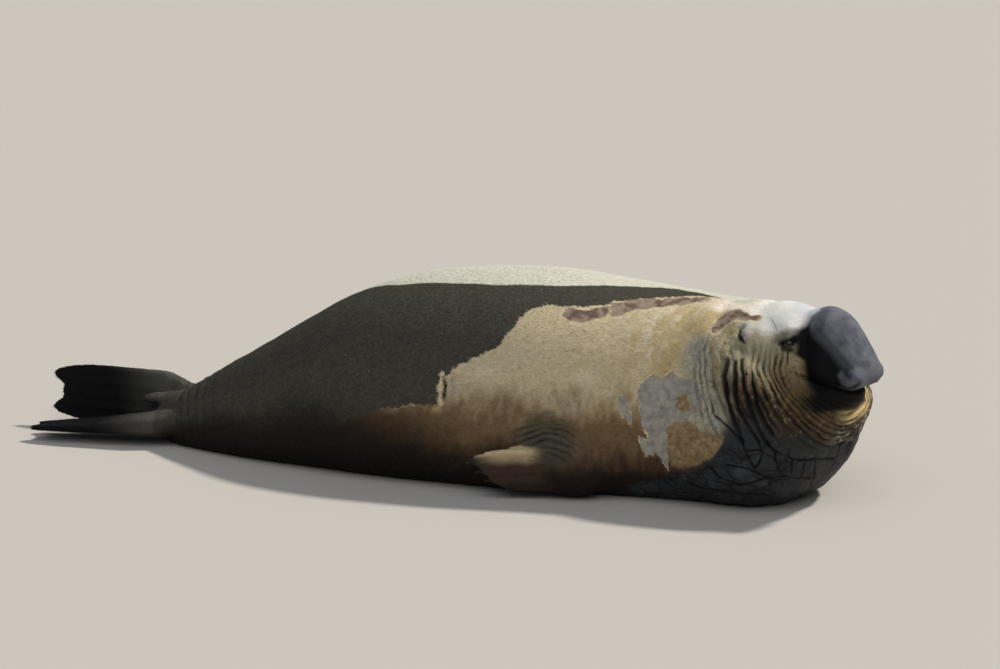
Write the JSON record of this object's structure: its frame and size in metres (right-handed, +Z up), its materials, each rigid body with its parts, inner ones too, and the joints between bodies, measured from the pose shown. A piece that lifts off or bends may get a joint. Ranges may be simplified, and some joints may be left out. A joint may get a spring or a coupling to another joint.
{
  "type": "elephant seal model",
  "caption": "Life-size southern elephant seal bull lying on its belly with head raised and turned to its right, mid-moult, as a still museum-style model.",
  "frame": {"origin": "middle of the footprint of the whole seal, on the floor it lies on", "axes": "+X from tail to chest along the body, +Z up, -Y its right side, towards which the head is turned"},
  "size_m": [4.3774, 1.3822, 0.9904],
  "materials": {
    "hide": "short flat fur",
    "bare_skin": "satin skin",
    "eye": "wet gloss",
    "claw": "smooth horn"
  },
  "bodies": {
    "root": {"hindquarters": "hide", "abdomen": "hide", "chest": "hide", "neck": "hide", "head": "hide", "lower_jaw": "hide", "proboscis": "bare_skin", "tail": "bare_skin", "fore_flipper_right": "bare_skin", "fore_flipper_left": "bare_skin", "hind_flipper_right": "bare_skin", "hind_flipper_left": "bare_skin", "eye_right": "eye", "eye_left": "eye", "claw_right_1": "claw", "claw_right_2": "claw", "claw_right_3": "claw", "claw_right_4": "claw", "claw_right_5": "claw", "claw_left_1": "claw", "claw_left_2": "claw", "claw_left_3": "claw", "claw_left_4": "claw", "claw_left_5": "claw"}
  },
  "joints": []
}
